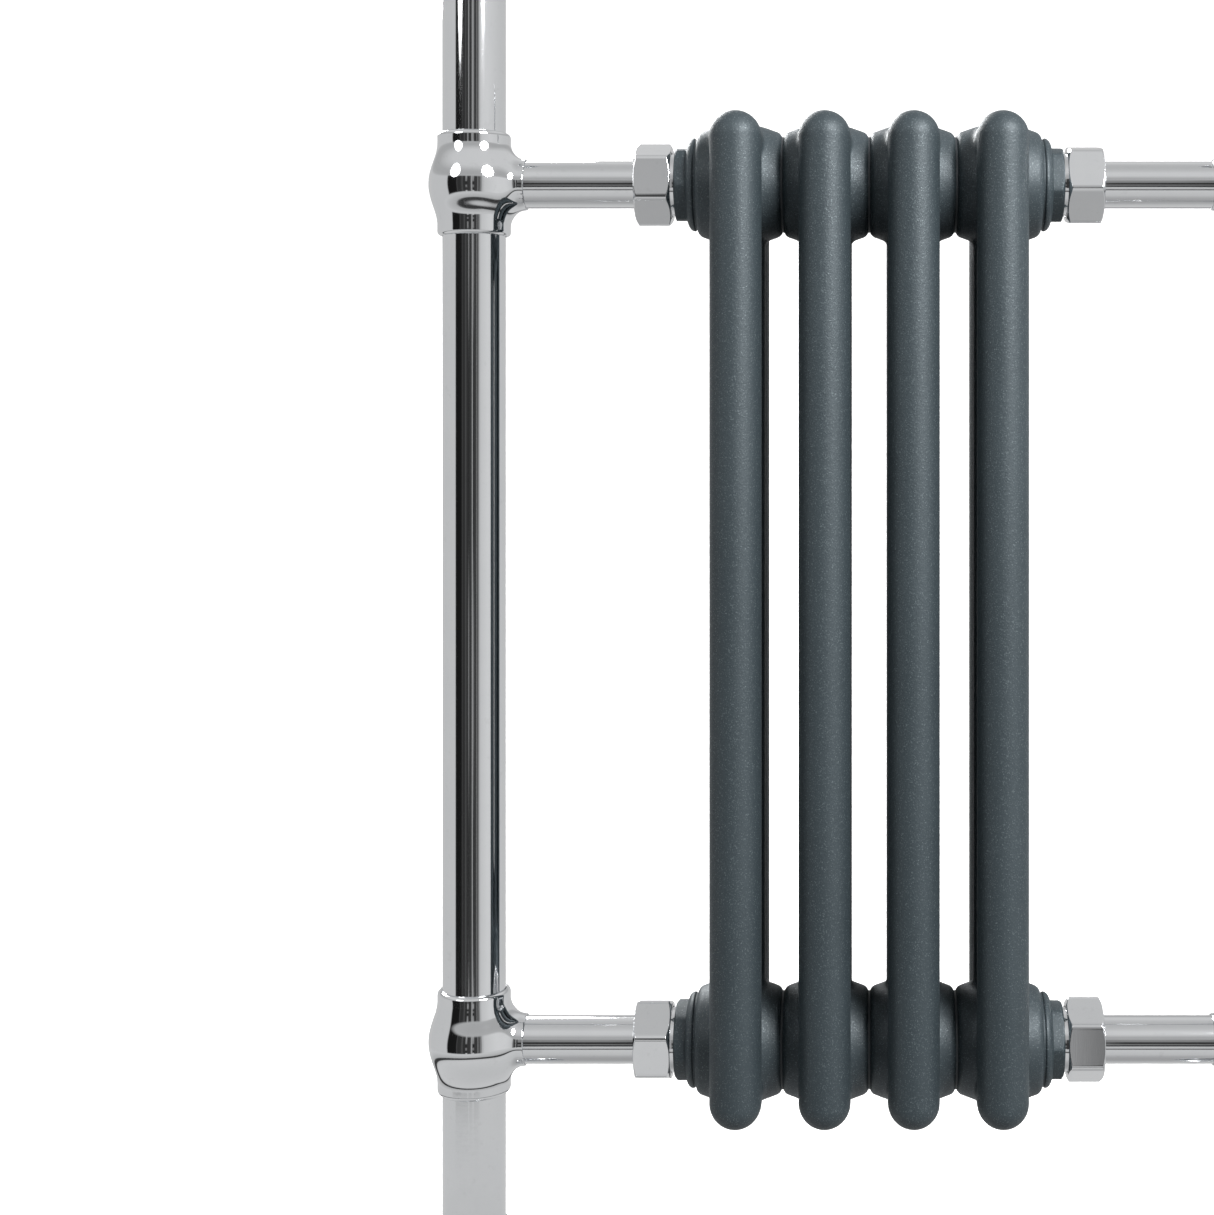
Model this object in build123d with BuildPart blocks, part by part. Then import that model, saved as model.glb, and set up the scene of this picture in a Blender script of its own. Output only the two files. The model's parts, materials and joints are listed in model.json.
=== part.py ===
from build123d import *
import os
from math import cos, radians, tan

# Sectional cast iron column radiator carried between two ball-jointed chrome posts.
# Millimetres, +X to the right, +Y to the back, +Z up. The origin is on the floor, midway
# between the two posts, under the middle of the radiator block.

# Radiator block
section_count = 4
section_pitch = 44.0
column_rows = 3
column_spacing = 37.5
column_diameter = 25.8
casting_wall = 3.2
hub_centres = 438.0
crown_height = 32.2
web_thickness = 19.0
web_drop = 6.2

# Barrels through which the sections are nippled together
joint_gap = 1.5
barrel_radius = 29.8
barrel_flare_overlap = 0.9
flare_radius = 9.0
shoulder_radius = 27.7
rim_radius = 26.6
rim_rounding = 2.3
chamber_wall = 5.8
chamber_length = 25.0

# Nipples and joint rings
nipple_thread_radius = 15.9
nipple_engagement = 11.5
nipple_wall = 3.0
key_lug_width = 4.0
key_lug_height = 1.6
joint_ring_stand = 1.1

# Painted end bushes
bush_ring_thickness = 1.5
bush_ring_recess = 2.2
bush_flange_recess = 0.6
bush_flange_thickness = 4.0
bush_flange_edge = 0.6
bush_flange_ledge = 0.8
bush_flange_rounding = 4.4
bush_hex_across_flats = 36.0
bush_hex_length = 6.0
bush_thread_length = 12.0
bush_tail_thread_radius = 12.6
tail_root_length = 9.0

# Chrome unions between the bushes and the rail tubes
tail_neck_step = 0.65
tail_neck_length = 2.7
union_gap = 1.9
union_thread_radius = 16.55
union_thread_length = 9.0
waterway_radius = 9.5
seal_thickness = 1.5
seal_step = 0.95
tube_collar_step = 0.75
tube_collar_thickness = 2.8
slip_washer_thickness = 1.1
slip_washer_step = 0.25
nut_wall = 2.2
nut_lip_thickness = 3.1
corner_chamfer_angle = 30.0

# Chrome pipework
rail_tube_diameter = 24.0
rail_tube_wall = 1.2
post_diameter = 32.0
post_wall = 1.5
post_reach = 202.5

# Ball tees
tee_collar_stand = 3.3
collar_wall = 2.5
tee_ball_bulge = 4.45
tee_waist_blend = 6.0
tee_rim_rounding = 2.2
tee_branch_stand = 4.0
tee_branch_wall = 0.95
tee_branch_blend = 8.5
post_socket_depth = 12.0
branch_socket_depth = 10.0

# Post caps with their air vents
cap_lift = 97.0
cap_height = 13.0
cap_socket_depth = 7.0
cap_rim_rounding = 2.0
cap_crown_rounding = 5.0
vent_thread_radius = 4.85
vent_thread_length = 4.5
vent_hex_across_flats = 12.0
vent_hex_height = 4.0
vent_bore_radius = 2.6
vent_key_square = 5.0
vent_key_height = 4.0
vent_key_chamfer = 0.5
vent_outlet_radius = 0.9

# Feet
hub_lift = 112.0
foot_spread = 15.95
foot_edge = 2.6
foot_height = 18.0
foot_collar_wall = 2.6
foot_sweep = 14.5
foot_rim_rounding = 1.6
floor_screw_count = 3
floor_screw_margin = 6.0
floor_screw_hole = 5.5
supply_thread_radius = 9.3
supply_socket_length = 15.0

# Clearances
press_clearance = 0.05
thread_clearance = 0.05
slide_clearance = 0.07
lip_clearance = 0.35
nut_seat_gap = 0.1

# How far each hexagon has turned past a corner-up position when tight, towards the front
nut_turn = {
    ("upper", "left"): 46.0,
    ("upper", "right"): 30.0,
    ("lower", "left"): 28.0,
    ("lower", "right"): 11.0,
}
bush_turn = {
    ("upper", "left"): 30.0,
    ("upper", "right"): 37.0,
    ("lower", "left"): 12.0,
    ("lower", "right"): 45.0,
}

# Places worked out from the sizes above
column_radius = column_diameter / 2
column_bore = column_radius - casting_wall
row_reach = column_spacing * (column_rows - 1) / 2
column_rows_xy = [(0, column_spacing * row - row_reach) for row in range(column_rows)]
slot_radius = (column_spacing - column_diameter) / 2
ridge_offset = crown_height - column_radius
section_half = (section_pitch - joint_gap) / 2
block_half = section_pitch * (section_count - 1) / 2 + section_half
section_places = [section_pitch * (index - (section_count - 1) / 2) for index in range(section_count)]
joint_places = [(a + b) / 2 for a, b in zip(section_places, section_places[1:])]
rounding_start = section_half - rim_rounding
face_radius = rim_radius - rim_rounding
barrel_flat = column_radius - barrel_flare_overlap
shoulder_reach = (column_radius + rounding_start) / 2
web_depth = barrel_radius + web_drop
neck_height = hub_lift + hub_centres - web_depth
slot_ends_yz = [(row_y + column_spacing / 2, neck_height) for _, row_y in column_rows_xy[:-1]]
chamber_radius = barrel_radius - chamber_wall
boss_bore = nipple_thread_radius + thread_clearance
joint_ring_radius = face_radius + joint_ring_stand

sides = {"left": -1, "right": 1}
levels = {"lower": hub_lift, "upper": hub_lift + hub_centres}
corners = [(level, side) for level in levels for side in sides]

bush_start = block_half + bush_ring_thickness
bush_hex_start = bush_start + bush_flange_thickness
bush_end = bush_hex_start + bush_hex_length
bush_bore = bush_tail_thread_radius + thread_clearance
bush_flange_radius = face_radius - bush_flange_recess
bush_flange_crown = bush_hex_across_flats / 2 + bush_flange_ledge
bush_ring_radius = bush_flange_radius - bush_ring_recess
tail_neck_radius = union_thread_radius - tail_neck_step
seal_radius = union_thread_radius - seal_step
tube_collar_radius = union_thread_radius - tube_collar_step
slip_washer_radius = union_thread_radius - slip_washer_step
nut_bore = union_thread_radius + thread_clearance
nut_across_flats = 2 * (nut_bore + nut_wall)
nut_start = bush_end + union_gap
tail_thread_start = bush_end + tail_neck_length
tail_face = tail_thread_start + union_thread_length
tube_start = tail_face + seal_thickness
collar_end = tube_start + tube_collar_thickness
washer_start = collar_end + nut_seat_gap
lip_start = washer_start + slip_washer_thickness + nut_seat_gap
nut_end = lip_start + nut_lip_thickness

rail_radius = rail_tube_diameter / 2
rail_bore = rail_radius - rail_tube_wall
post_radius = post_diameter / 2
post_bore = post_radius - post_wall
socket_radius = post_radius + press_clearance
branch_socket_radius = rail_radius + press_clearance
collar_radius = socket_radius + collar_wall
tee_ball_radius = collar_radius + tee_ball_bulge
tee_half = tee_ball_radius + tee_collar_stand
tee_branch_reach = tee_ball_radius + tee_branch_stand
post_stop = tee_half - post_socket_depth
branch_mouth = post_reach - tee_branch_reach
tube_end = branch_mouth + branch_socket_depth
foot_radius = socket_radius + foot_spread
floor_screw_circle = 2 * (foot_radius - floor_screw_margin)
cap_rim = levels["upper"] + cap_lift
cap_top = cap_rim + cap_height

os.makedirs("parts", exist_ok=True)


def save(part, name):
    """Label one finished piece and write it to its own file."""
    part.label = name
    export_step(part, f"parts/{name}.step")


def across(side, distance, height):
    """A plane across the hub line, facing away from the block, whose X direction is up."""
    return Plane(origin=(sides[side] * distance, 0, height), x_dir=(0, 0, 1), z_dir=(sides[side], 0, 0))


def along(side, height):
    """A plane through the hub line: X runs outwards from the middle of the block and Y is up."""
    return Plane(origin=(0, 0, height), x_dir=(sides[side], 0, 0), z_dir=(0, -sides[side], 0))


def upright(side, height):
    """A level plane on the axis of a post."""
    return Plane(origin=(sides[side] * post_reach, 0, height))


def upright_section(side, height):
    """A plane through the axis of a post: X runs away from the block and Y is up."""
    outwards = (sides[side], 0, 0)
    return Plane(origin=upright(side, height).origin, x_dir=outwards, z_dir=(0, -sides[side], 0))


def tube(plane, length, outer, inner):
    """A plain ring or tube, standing on a plane."""
    with BuildPart() as piece:
        with BuildSketch(plane):
            Circle(outer)
            Circle(inner, mode=Mode.SUBTRACT)
        extrude(amount=length)
    return piece.part


def hexagon(plane, length, across_flats, turn):
    """A hexagonal bar standing on a plane, with its corners turned down at both ends."""
    flat_reach = across_flats / 2
    corner_reach = flat_reach / cos(radians(30))
    corner_drop = (corner_reach - flat_reach) * tan(radians(corner_chamfer_angle))
    with BuildPart() as bar:
        with BuildSketch(plane):
            RegularPolygon(radius=flat_reach, side_count=6, major_radius=False, rotation=turn)
        extrude(amount=length)
        with BuildSketch(Plane(origin=plane.origin, x_dir=plane.z_dir, z_dir=plane.y_dir)):
            with BuildLine():
                Polyline(
                    (0, 0),
                    (0, flat_reach),
                    (corner_drop, corner_reach),
                    (length - corner_drop, corner_reach),
                    (length, flat_reach),
                    (length, 0),
                    close=True,
                )
            make_face()
        revolve(axis=Axis(plane.origin, plane.z_dir), mode=Mode.INTERSECT)
    return bar.part


# ---------------------------------------------------------------- radiator sections


def section_head():
    """The upper end of one casting: half-round head, web, barrel and column ends, all hollow."""
    hub = levels["upper"]
    ridge = hub + ridge_offset
    neck = neck_height
    ridge_plane = Plane(origin=(0, -row_reach, ridge), x_dir=(1, 0, 0), z_dir=(0, 1, 0))
    barrel_plane = Plane(origin=(0, 0, hub), x_dir=(0, 1, 0), z_dir=(1, 0, 0))
    with BuildPart() as head:
        with BuildSketch(Plane.XY.offset(neck)):
            with Locations(*column_rows_xy):
                Circle(column_radius)
        extrude(amount=ridge - neck)
        with BuildSketch(ridge_plane):
            Circle(column_radius)
        extrude(amount=2 * row_reach)
        with Locations((0, -row_reach, ridge), (0, row_reach, ridge)):
            Sphere(column_radius)
        with BuildSketch(Plane.YZ):
            with BuildLine():
                Polyline(
                    (-row_reach, ridge),
                    (row_reach, ridge),
                    (row_reach, neck),
                    (-row_reach, neck),
                    close=True,
                )
            make_face()
            with Locations(*slot_ends_yz):
                Circle(slot_radius, mode=Mode.SUBTRACT)
        extrude(amount=web_thickness / 2, both=True)
        with BuildSketch(Plane(origin=(0, 0, hub), x_dir=(1, 0, 0), z_dir=(0, -1, 0))):
            with BuildLine():
                Polyline((section_half, face_radius), (section_half, 0), (0, 0))
                Line((0, 0), (0, barrel_radius))
                Line((0, barrel_radius), (barrel_flat, barrel_radius))
                RadiusArc((barrel_flat, barrel_radius), (shoulder_reach, shoulder_radius), -flare_radius)
                Line((shoulder_reach, shoulder_radius), (rounding_start, rim_radius))
                RadiusArc((rounding_start, rim_radius), (section_half, face_radius), rim_rounding)
            make_face()
            mirror(about=Plane.YZ)
        revolve(axis=Axis((0, 0, hub), (1, 0, 0)))
        with BuildSketch(Plane.XY.offset(neck)):
            with Locations(*column_rows_xy):
                Circle(column_bore)
        extrude(amount=ridge - neck, mode=Mode.SUBTRACT)
        with BuildSketch(ridge_plane):
            Circle(column_bore)
        extrude(amount=2 * row_reach, mode=Mode.SUBTRACT)
        with BuildSketch(barrel_plane):
            Circle(chamber_radius)
        extrude(amount=chamber_length / 2, both=True, mode=Mode.SUBTRACT)
        with BuildSketch(barrel_plane):
            Circle(boss_bore)
        extrude(amount=section_half, both=True, mode=Mode.SUBTRACT)
    return head.part


def section_columns():
    """The plain hollow columns of one casting, from head to head."""
    with BuildPart() as columns:
        with BuildSketch(Plane.XY.offset(levels["lower"] + web_depth)):
            with Locations(*column_rows_xy):
                Circle(column_radius)
                Circle(column_bore, mode=Mode.SUBTRACT)
        extrude(amount=hub_centres - 2 * web_depth)
    return columns.part


def nipple(place, height):
    """A threaded nipple across one joint, with two lugs inside for its key."""
    bore = nipple_thread_radius - nipple_wall
    with BuildPart() as piece:
        with BuildSketch(Plane(origin=(place, 0, height), x_dir=(0, 1, 0), z_dir=(1, 0, 0))):
            Circle(nipple_thread_radius)
            Circle(bore, mode=Mode.SUBTRACT)
            with PolarLocations(bore, 2):
                Rectangle(2 * key_lug_height, key_lug_width)
        extrude(amount=joint_gap / 2 + nipple_engagement, both=True)
    return piece.part


# Each casting is cut square across just clear of its webs: two heads, and the columns between them.
head = section_head()
columns = section_columns()
with BuildPart() as head_pair:
    add(head)
    mirror(about=Plane.XY.offset(hub_lift + hub_centres / 2))
for number, place in enumerate(section_places, start=1):
    with BuildPart() as section_heads:
        with Locations((place, 0, 0)):
            add(head_pair.part)
    save(section_heads.part, f"section_{number}_heads")
    with BuildPart() as section_tubes:
        with Locations((place, 0, 0)):
            add(columns)
    save(section_tubes.part, f"section_{number}_columns")

for level, height in levels.items():
    with BuildPart() as nipples:
        for place in joint_places:
            add(nipple(place, height))
    save(nipples.part, f"{level}_nipples")

    with BuildPart() as joint_rings:
        for place in joint_places:
            with BuildSketch(Plane(origin=(place, 0, height), x_dir=(0, 1, 0), z_dir=(1, 0, 0))):
                Circle(joint_ring_radius)
                Circle(boss_bore, mode=Mode.SUBTRACT)
            extrude(amount=joint_gap / 2, both=True)
    save(joint_rings.part, f"{level}_joint_rings")

    with BuildPart() as bush_rings:
        for side in sides:
            with BuildSketch(across(side, block_half, height)):
                Circle(bush_ring_radius)
                Circle(boss_bore, mode=Mode.SUBTRACT)
            extrude(amount=bush_ring_thickness)
    save(bush_rings.part, f"{level}_bush_rings")


# ---------------------------------------------------------------- bushes and unions


def end_bush(level, side):
    """A bush screwed into an end barrel: thread, domed flange and hexagon, bored for the tail."""
    height = levels[level]
    turn = sides[side] * bush_turn[level, side]
    flange_edge = bush_start + bush_flange_edge
    head_plane = across(side, flange_edge, height)
    hexagon_head = hexagon(head_plane, bush_end - flange_edge, bush_hex_across_flats, turn)
    thread_start = bush_start - bush_thread_length
    with BuildPart() as bush:
        with BuildSketch(along(side, height)):
            with BuildLine():
                Polyline(
                    (bush_hex_start, bush_flange_crown),
                    (bush_hex_start, 0),
                    (thread_start, 0),
                    (thread_start, nipple_thread_radius),
                    (bush_start, nipple_thread_radius),
                    (bush_start, bush_flange_radius),
                    (flange_edge, bush_flange_radius),
                )
                RadiusArc(
                    (flange_edge, bush_flange_radius),
                    (bush_hex_start, bush_flange_crown),
                    bush_flange_rounding,
                )
            make_face()
        revolve(axis=Axis((0, 0, height), (1, 0, 0)))
        add(hexagon_head)
        with BuildSketch(across(side, thread_start, height)):
            Circle(bush_bore)
        extrude(amount=bush_end - thread_start, mode=Mode.SUBTRACT)
    return bush.part


def union_tail(level, side):
    """The fixed half of a union: screwed into the bush, with the thread that the nut runs on."""
    height = levels[level]
    with BuildPart() as tail:
        with BuildSketch(along(side, height)):
            with BuildLine():
                Polyline(
                    (bush_end - tail_root_length, waterway_radius),
                    (bush_end - tail_root_length, bush_tail_thread_radius),
                    (bush_end, bush_tail_thread_radius),
                    (bush_end, tail_neck_radius),
                    (tail_thread_start, tail_neck_radius),
                    (tail_thread_start, union_thread_radius),
                    (tail_face, union_thread_radius),
                    (tail_face, waterway_radius),
                    close=True,
                )
            make_face()
        revolve(axis=Axis((0, 0, height), (1, 0, 0)))
    return tail.part


def union_nut(level, side):
    """A loose hexagon nut: threaded bore towards the bush, and a lip behind the tube's collar."""
    height = levels[level]
    turn = sides[side] * nut_turn[level, side]
    bar = hexagon(across(side, nut_start, height), nut_end - nut_start, nut_across_flats, turn)
    with BuildPart() as nut:
        add(bar)
        with BuildSketch(across(side, nut_start, height)):
            Circle(nut_bore)
        extrude(amount=lip_start - nut_start, mode=Mode.SUBTRACT)
        with BuildSketch(across(side, lip_start, height)):
            Circle(rail_radius + lip_clearance)
        extrude(amount=nut_lip_thickness, mode=Mode.SUBTRACT)
    return nut.part


def rail_tube(level, side):
    """A rail tube with the collar brazed on the end that the union nut pulls up."""
    height = levels[level]
    with BuildPart() as rail:
        with BuildSketch(across(side, tube_start, height)):
            Circle(rail_radius)
        extrude(amount=tube_end - tube_start)
        with BuildSketch(across(side, tube_start, height)):
            Circle(tube_collar_radius)
        extrude(amount=tube_collar_thickness)
        with BuildSketch(across(side, tube_start, height)):
            Circle(rail_bore)
        extrude(amount=tube_end - tube_start, mode=Mode.SUBTRACT)
    return rail.part


for level, side in corners:
    height = levels[level]
    save(end_bush(level, side), f"{level}_{side}_bush")
    save(union_tail(level, side), f"{level}_{side}_union_tail")
    union_seal = tube(across(side, tail_face, height), seal_thickness, seal_radius, rail_bore)
    save(union_seal, f"{level}_{side}_union_seal")
    washer_plane = across(side, washer_start, height)
    washer_bore = rail_radius + slide_clearance
    slip_washer = tube(washer_plane, slip_washer_thickness, slip_washer_radius, washer_bore)
    save(slip_washer, f"{level}_{side}_slip_washer")
    save(union_nut(level, side), f"{level}_{side}_union_nut")
    save(rail_tube(level, side), f"{level}_{side}_rail_tube")


# ---------------------------------------------------------------- ball tees and posts


def ball_tee(level, side):
    """A ball tee: a collar above and below the ball for the post, and a branch for the rail."""
    height = levels[level]
    inwards = -sides[side]
    centre = upright(side, height).origin
    branch_plane = Plane(origin=centre, x_dir=(0, 1, 0), z_dir=(inwards, 0, 0))
    with BuildPart() as tee:
        with BuildSketch(upright(side, height - tee_half)):
            Circle(collar_radius)
        extrude(amount=2 * tee_half)
        with BuildSketch(branch_plane):
            Circle(branch_socket_radius + tee_branch_wall)
        extrude(amount=tee_branch_reach)
        fillet(tee.edges().filter_by(GeomType.BSPLINE), tee_branch_blend)
        rims = tee.edges().filter_by(GeomType.CIRCLE).group_by(Axis.Z)
        fillet(rims[0] + rims[-1], tee_rim_rounding)
        with Locations(centre):
            Sphere(tee_ball_radius)
        fillet(tee.faces().filter_by(GeomType.SPHERE).edges(), tee_waist_blend)
        with BuildSketch(upright(side, height - tee_half)):
            Circle(socket_radius)
        extrude(amount=post_socket_depth, mode=Mode.SUBTRACT)
        with BuildSketch(upright(side, height + post_stop)):
            Circle(socket_radius)
        extrude(amount=post_socket_depth, mode=Mode.SUBTRACT)
        with BuildSketch(upright(side, height - post_stop)):
            Circle(post_bore)
        extrude(amount=2 * post_stop, mode=Mode.SUBTRACT)
        with BuildSketch(branch_plane):
            Circle(rail_bore)
        extrude(amount=tee_branch_reach, mode=Mode.SUBTRACT)
        with BuildSketch(branch_plane.offset(tee_branch_reach - branch_socket_depth)):
            Circle(branch_socket_radius)
        extrude(amount=branch_socket_depth, mode=Mode.SUBTRACT)
    return tee.part


def post_cap(side):
    """The domed cap on top of a post, tapped for the air vent."""
    with BuildPart() as cap:
        with BuildSketch(upright(side, cap_rim)):
            Circle(collar_radius)
        extrude(amount=cap_height)
        fillet(cap.edges().group_by(Axis.Z)[-1], cap_crown_rounding)
        fillet(cap.edges().group_by(Axis.Z)[0], cap_rim_rounding)
        with BuildSketch(upright(side, cap_rim)):
            Circle(socket_radius)
        extrude(amount=cap_socket_depth, mode=Mode.SUBTRACT)
        with BuildSketch(upright(side, cap_rim)):
            Circle(vent_thread_radius + thread_clearance)
        extrude(amount=cap_height, mode=Mode.SUBTRACT)
    return cap.part


def vent_body(side):
    """The hexagon-headed seat of an air vent, with a bleed hole out through one flat."""
    head = hexagon(upright(side, cap_top), vent_hex_height, vent_hex_across_flats, 0)
    with BuildPart() as body:
        with BuildSketch(upright(side, cap_top - vent_thread_length)):
            Circle(vent_thread_radius)
        extrude(amount=vent_thread_length)
        add(head)
        with BuildSketch(upright(side, cap_top - vent_thread_length)):
            Circle(vent_bore_radius)
        extrude(amount=vent_thread_length + vent_hex_height, mode=Mode.SUBTRACT)
        outlet = upright(side, cap_top + vent_hex_height / 2).origin
        with BuildSketch(Plane(origin=outlet, x_dir=(1, 0, 0), z_dir=(0, 1, 0))):
            Circle(vent_outlet_radius)
        extrude(amount=vent_hex_across_flats, mode=Mode.SUBTRACT)
    return body.part


def vent_screw(side):
    """The vent's screw, turned by a square key."""
    shank_start = cap_top - vent_thread_length / 2
    head_start = cap_top + vent_hex_height + slide_clearance
    with BuildPart() as screw:
        with BuildSketch(upright(side, shank_start)):
            Circle(vent_bore_radius - slide_clearance)
        extrude(amount=head_start - shank_start)
        with BuildSketch(upright(side, head_start)):
            Rectangle(vent_key_square, vent_key_square)
        extrude(amount=vent_key_height)
        chamfer(screw.edges().group_by(Axis.Z)[-1], vent_key_chamfer)
    return screw.part


def foot(side):
    """The floor flange round the bottom of a post, with its screw holes."""
    foot_collar = socket_radius + foot_collar_wall
    rim_start = foot_height - foot_rim_rounding
    with BuildPart() as flange:
        with BuildSketch(upright_section(side, 0)):
            with BuildLine():
                Polyline(
                    (foot_collar - foot_rim_rounding, foot_height),
                    (socket_radius, foot_height),
                    (socket_radius, 0),
                    (foot_radius, 0),
                    (foot_radius, foot_edge),
                )
                RadiusArc((foot_radius, foot_edge), (foot_collar, rim_start), foot_sweep)
                RadiusArc(
                    (foot_collar, rim_start),
                    (foot_collar - foot_rim_rounding, foot_height),
                    -foot_rim_rounding,
                )
            make_face()
        revolve(axis=Axis(upright(side, 0).origin, (0, 0, 1)))
        with BuildSketch(upright(side, 0)):
            with PolarLocations(floor_screw_circle / 2, floor_screw_count, start_angle=90):
                Circle(floor_screw_hole / 2)
        extrude(amount=foot_height, mode=Mode.SUBTRACT)
    return flange.part


for level, side in corners:
    save(ball_tee(level, side), f"{level}_{side}_tee")

for side in sides:
    low, high = levels["lower"], levels["upper"]
    post_spans = {
        "lower": (0, low - post_stop),
        "middle": (low + post_stop, high - post_stop),
        "upper": (high + post_stop, cap_rim + cap_socket_depth),
    }
    for name, (start, end) in post_spans.items():
        save(tube(upright(side, start), end - start, post_radius, post_bore), f"{name}_{side}_post")
    save(post_cap(side), f"{side}_cap")
    save(vent_body(side), f"{side}_vent_body")
    save(vent_screw(side), f"{side}_vent_screw")
    save(foot(side), f"{side}_foot")
    socket_outside = post_bore - press_clearance
    supply_socket = tube(upright(side, 0), supply_socket_length, socket_outside, supply_thread_radius)
    save(supply_socket, f"{side}_supply_socket")
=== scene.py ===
import json
import math

import bpy
import numpy as np
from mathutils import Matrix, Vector

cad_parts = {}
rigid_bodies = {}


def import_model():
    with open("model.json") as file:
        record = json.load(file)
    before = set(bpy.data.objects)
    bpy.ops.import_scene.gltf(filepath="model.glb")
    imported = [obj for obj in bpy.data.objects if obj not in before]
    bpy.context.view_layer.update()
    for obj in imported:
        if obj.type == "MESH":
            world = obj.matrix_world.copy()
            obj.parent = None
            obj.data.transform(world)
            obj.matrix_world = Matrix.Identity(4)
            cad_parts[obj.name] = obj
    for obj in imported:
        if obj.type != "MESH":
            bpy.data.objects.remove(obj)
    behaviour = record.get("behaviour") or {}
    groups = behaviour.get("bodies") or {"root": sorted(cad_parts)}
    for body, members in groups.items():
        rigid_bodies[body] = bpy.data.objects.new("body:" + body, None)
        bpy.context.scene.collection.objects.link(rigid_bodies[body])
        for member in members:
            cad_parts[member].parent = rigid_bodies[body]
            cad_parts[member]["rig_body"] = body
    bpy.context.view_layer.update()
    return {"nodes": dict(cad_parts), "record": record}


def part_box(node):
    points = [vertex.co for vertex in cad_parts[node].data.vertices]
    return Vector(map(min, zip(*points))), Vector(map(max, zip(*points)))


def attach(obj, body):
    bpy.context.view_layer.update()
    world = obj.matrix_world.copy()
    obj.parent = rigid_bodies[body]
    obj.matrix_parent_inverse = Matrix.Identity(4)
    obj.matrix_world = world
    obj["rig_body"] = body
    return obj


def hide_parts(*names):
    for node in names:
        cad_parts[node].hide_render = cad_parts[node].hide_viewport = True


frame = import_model()

MM = 0.001
UP = Vector((0, 0, 1))


# ---------------------------------------------------------------- places read from the frame


def middle(node):
    """The middle of a CAD node's box."""
    low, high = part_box(node)
    return (low + high) / 2


def reach(node):
    """Half the size of a CAD node's box."""
    low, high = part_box(node)
    return (high - low) / 2


def cross_directions(axis):
    """Two directions across an axis: up, or to the right for an upright axis, and the one square to both."""
    first = Vector((1, 0, 0)) if abs(axis.z) > 0.5 else UP
    return first, axis.cross(first)


FRAME_SLOT = {entry["node"]: entry["material_slot"] for entry in frame["record"]["subparts"]}
SIDES = {"left": -1, "right": 1}
LEVELS = ("lower", "upper")
hub_heights = {level: middle(f"{level}_left_tee").z for level in LEVELS}
post_reach = middle("middle_right_post").x
section_numbers = range(1, 5)
section_reach = reach("section_1_heads")
hub_reach = (hub_heights["upper"] - hub_heights["lower"]) / 2


# ---------------------------------------------------------------- finishes


def add_node(tree, kind, settings=None, sockets=None, output=0):
    """A node with its settings made first, then its sockets filled; returns one of its outputs as a Wire."""
    node = tree.nodes.new(kind)
    for setting, value in (settings or {}).items():
        if setting == "stops":
            while len(node.color_ramp.elements) < len(value):
                node.color_ramp.elements.new(0.5)
            for element, (place, colour) in zip(node.color_ramp.elements, value):
                element.position = place
                element.color = colour
        else:
            setattr(node, setting, value)
    for socket, value in (sockets or {}).items():
        fill(tree, node.inputs[socket], value)
    return Wire(node.outputs[output])


def fill(tree, socket, value):
    """Links a Wire to a socket, or sets a plain value on it."""
    if isinstance(value, Wire):
        tree.links.new(value.socket, socket)
    else:
        socket.default_value = value


class Wire:
    """An output socket. Arithmetic on it adds Math nodes to its tree."""

    def __init__(self, socket):
        self.socket = socket

    def math(self, operation, first, second):
        sockets = {0: first, 1: second}
        return add_node(self.socket.id_data, "ShaderNodeMath", {"operation": operation}, sockets)

    def __add__(self, other):
        return self.math("ADD", self, other)

    def __sub__(self, other):
        return self.math("SUBTRACT", self, other)

    def __mul__(self, other):
        return self.math("MULTIPLY", self, other)

    __radd__ = __add__


def mixed(tree, factor, first, second):
    """A colour that runs from first to second with a factor."""
    return add_node(tree, "ShaderNodeMix", {"data_type": "RGBA"}, {0: factor, 6: first, 7: second}, output=2)


def grey(level):
    """An opaque grey."""
    return (level, level, level, 1.0)


class Finish:
    """A procedural material: a Principled shader, fed by nodes placed by the piece's own coordinates."""

    def __init__(self, name, **constants):
        self.material = bpy.data.materials.new(name)
        self.material.use_nodes = True
        self.tree = self.material.node_tree
        self.shader = self.tree.nodes["Principled BSDF"]
        for socket, value in constants.items():
            self.shader.inputs[socket.replace("_", " ")].default_value = value
        self.place = add_node(self.tree, "ShaderNodeTexCoord", output="Object")

    def node(self, kind, settings=None, sockets=None, output=0):
        return add_node(self.tree, kind, settings, sockets, output)

    def stretched(self, along):
        """The piece's coordinates, scaled by a different amount along each axis."""
        settings = {"operation": "MULTIPLY"}
        return self.node("ShaderNodeVectorMath", settings, {0: self.place, 1: along})

    def noise(self, scale, detail, roughness, place=None):
        sockets = {"Vector": place or self.place, "Scale": scale, "Detail": detail, "Roughness": roughness}
        return self.node("ShaderNodeTexNoise", None, sockets)

    def between(self, value, low, high):
        """0 below low, 1 above high, and smooth between."""
        settings = {"interpolation_type": "SMOOTHSTEP"}
        sockets = {"Value": value, "From Min": low, "From Max": high}
        return self.node("ShaderNodeMapRange", settings, sockets)

    def blended(self, factor, first, second):
        return mixed(self.tree, factor, first, second)

    def bumped(self, height, distance):
        sockets = {"Height": height, "Distance": distance, "Strength": 1.0}
        self.feed("Normal", self.node("ShaderNodeBump", None, sockets, output="Normal"))

    def feed(self, socket, value):
        fill(self.tree, self.shader.inputs[socket], value)


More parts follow.
